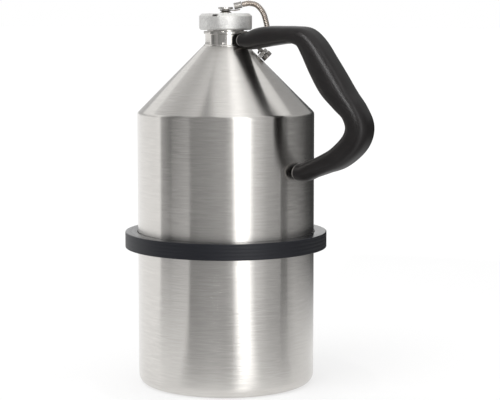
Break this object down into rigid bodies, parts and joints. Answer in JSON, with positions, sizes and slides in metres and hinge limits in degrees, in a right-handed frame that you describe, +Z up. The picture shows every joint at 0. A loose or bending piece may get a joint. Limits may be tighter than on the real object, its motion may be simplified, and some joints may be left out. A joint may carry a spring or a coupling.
{
  "type": "safety can",
  "caption": "Stainless steel safety can with a conical shoulder, tethered screw cap with relief valve, flame arrester, rubber guard ring and side handle.",
  "frame": {"origin": "on the can's axis, on the flat underside of the base that stands on the floor", "axes": "+Z up along the can's axis, +X from the axis towards the carrying handle, +Y to the left of the handle"},
  "size_m": [0.2483, 0.1832, 0.3463],
  "materials": {
    "brushed_stainless": "brushed around the axis",
    "polished_stainless": "polished",
    "blasted_stainless": "fine blasted and turned",
    "black_rubber": "moulded, satin",
    "black_plastic": "fine mould grain",
    "wound_steel": "wound wire, slightly tarnished",
    "seal_rubber": "matt"
  },
  "bodies": {
    "can": {"body_shell": "brushed_stainless", "shoulder_cone": "brushed_stainless", "guard_ring": "black_rubber", "neck_socket": "polished_stainless", "arrester_basket": "brushed_stainless", "arrester_snap_ring": "polished_stainless", "handle_grip": "black_plastic", "handle_core": "brushed_stainless", "handle_upper_saddle": "brushed_stainless", "handle_lower_saddle": "brushed_stainless", "tether_sheath": "wound_steel", "tether_wire": "wound_steel", "tether_ferrule_lower": "polished_stainless", "anchor_eye": "polished_stainless", "anchor_boss": "polished_stainless", "anchor_pin": "polished_stainless"},
    "tether_end": {"tether_eye": "polished_stainless", "tether_ferrule_upper": "polished_stainless"},
    "cap": {"cap_shell": "blasted_stainless", "cap_gasket": "seal_rubber", "valve_body": "polished_stainless", "valve_spring": "polished_stainless", "swivel_stud": "polished_stainless", "stud_washer": "polished_stainless"},
    "relief_valve": {"valve_poppet": "polished_stainless", "valve_seal": "seal_rubber"}
  },
  "joints": [
    {"name": "cap_lift", "type": "slide", "parent": "can", "child": "tether_end", "axis": [0, 0, 1], "range_m": [0, 0.006], "deforming": ["tether_sheath", "tether_wire"]},
    {"name": "cap_turn", "type": "hinge", "parent": "tether_end", "child": "cap", "pos_m": [0, 0, 0.3202], "axis": [0, 0, 1], "range_deg": [0, 720]},
    {"name": "valve_lift", "type": "slide", "parent": "cap", "child": "relief_valve", "axis": [0, 0, 1], "range_m": [0, 0.0025], "stiffness_N_per_m": 400, "springref_m": -0.002, "deforming": ["valve_spring"]}
  ],
  "couplings": [
    {"joint": "cap_lift", "follows": "cap_turn", "m_per_rad": 0.00047746}
  ]
}
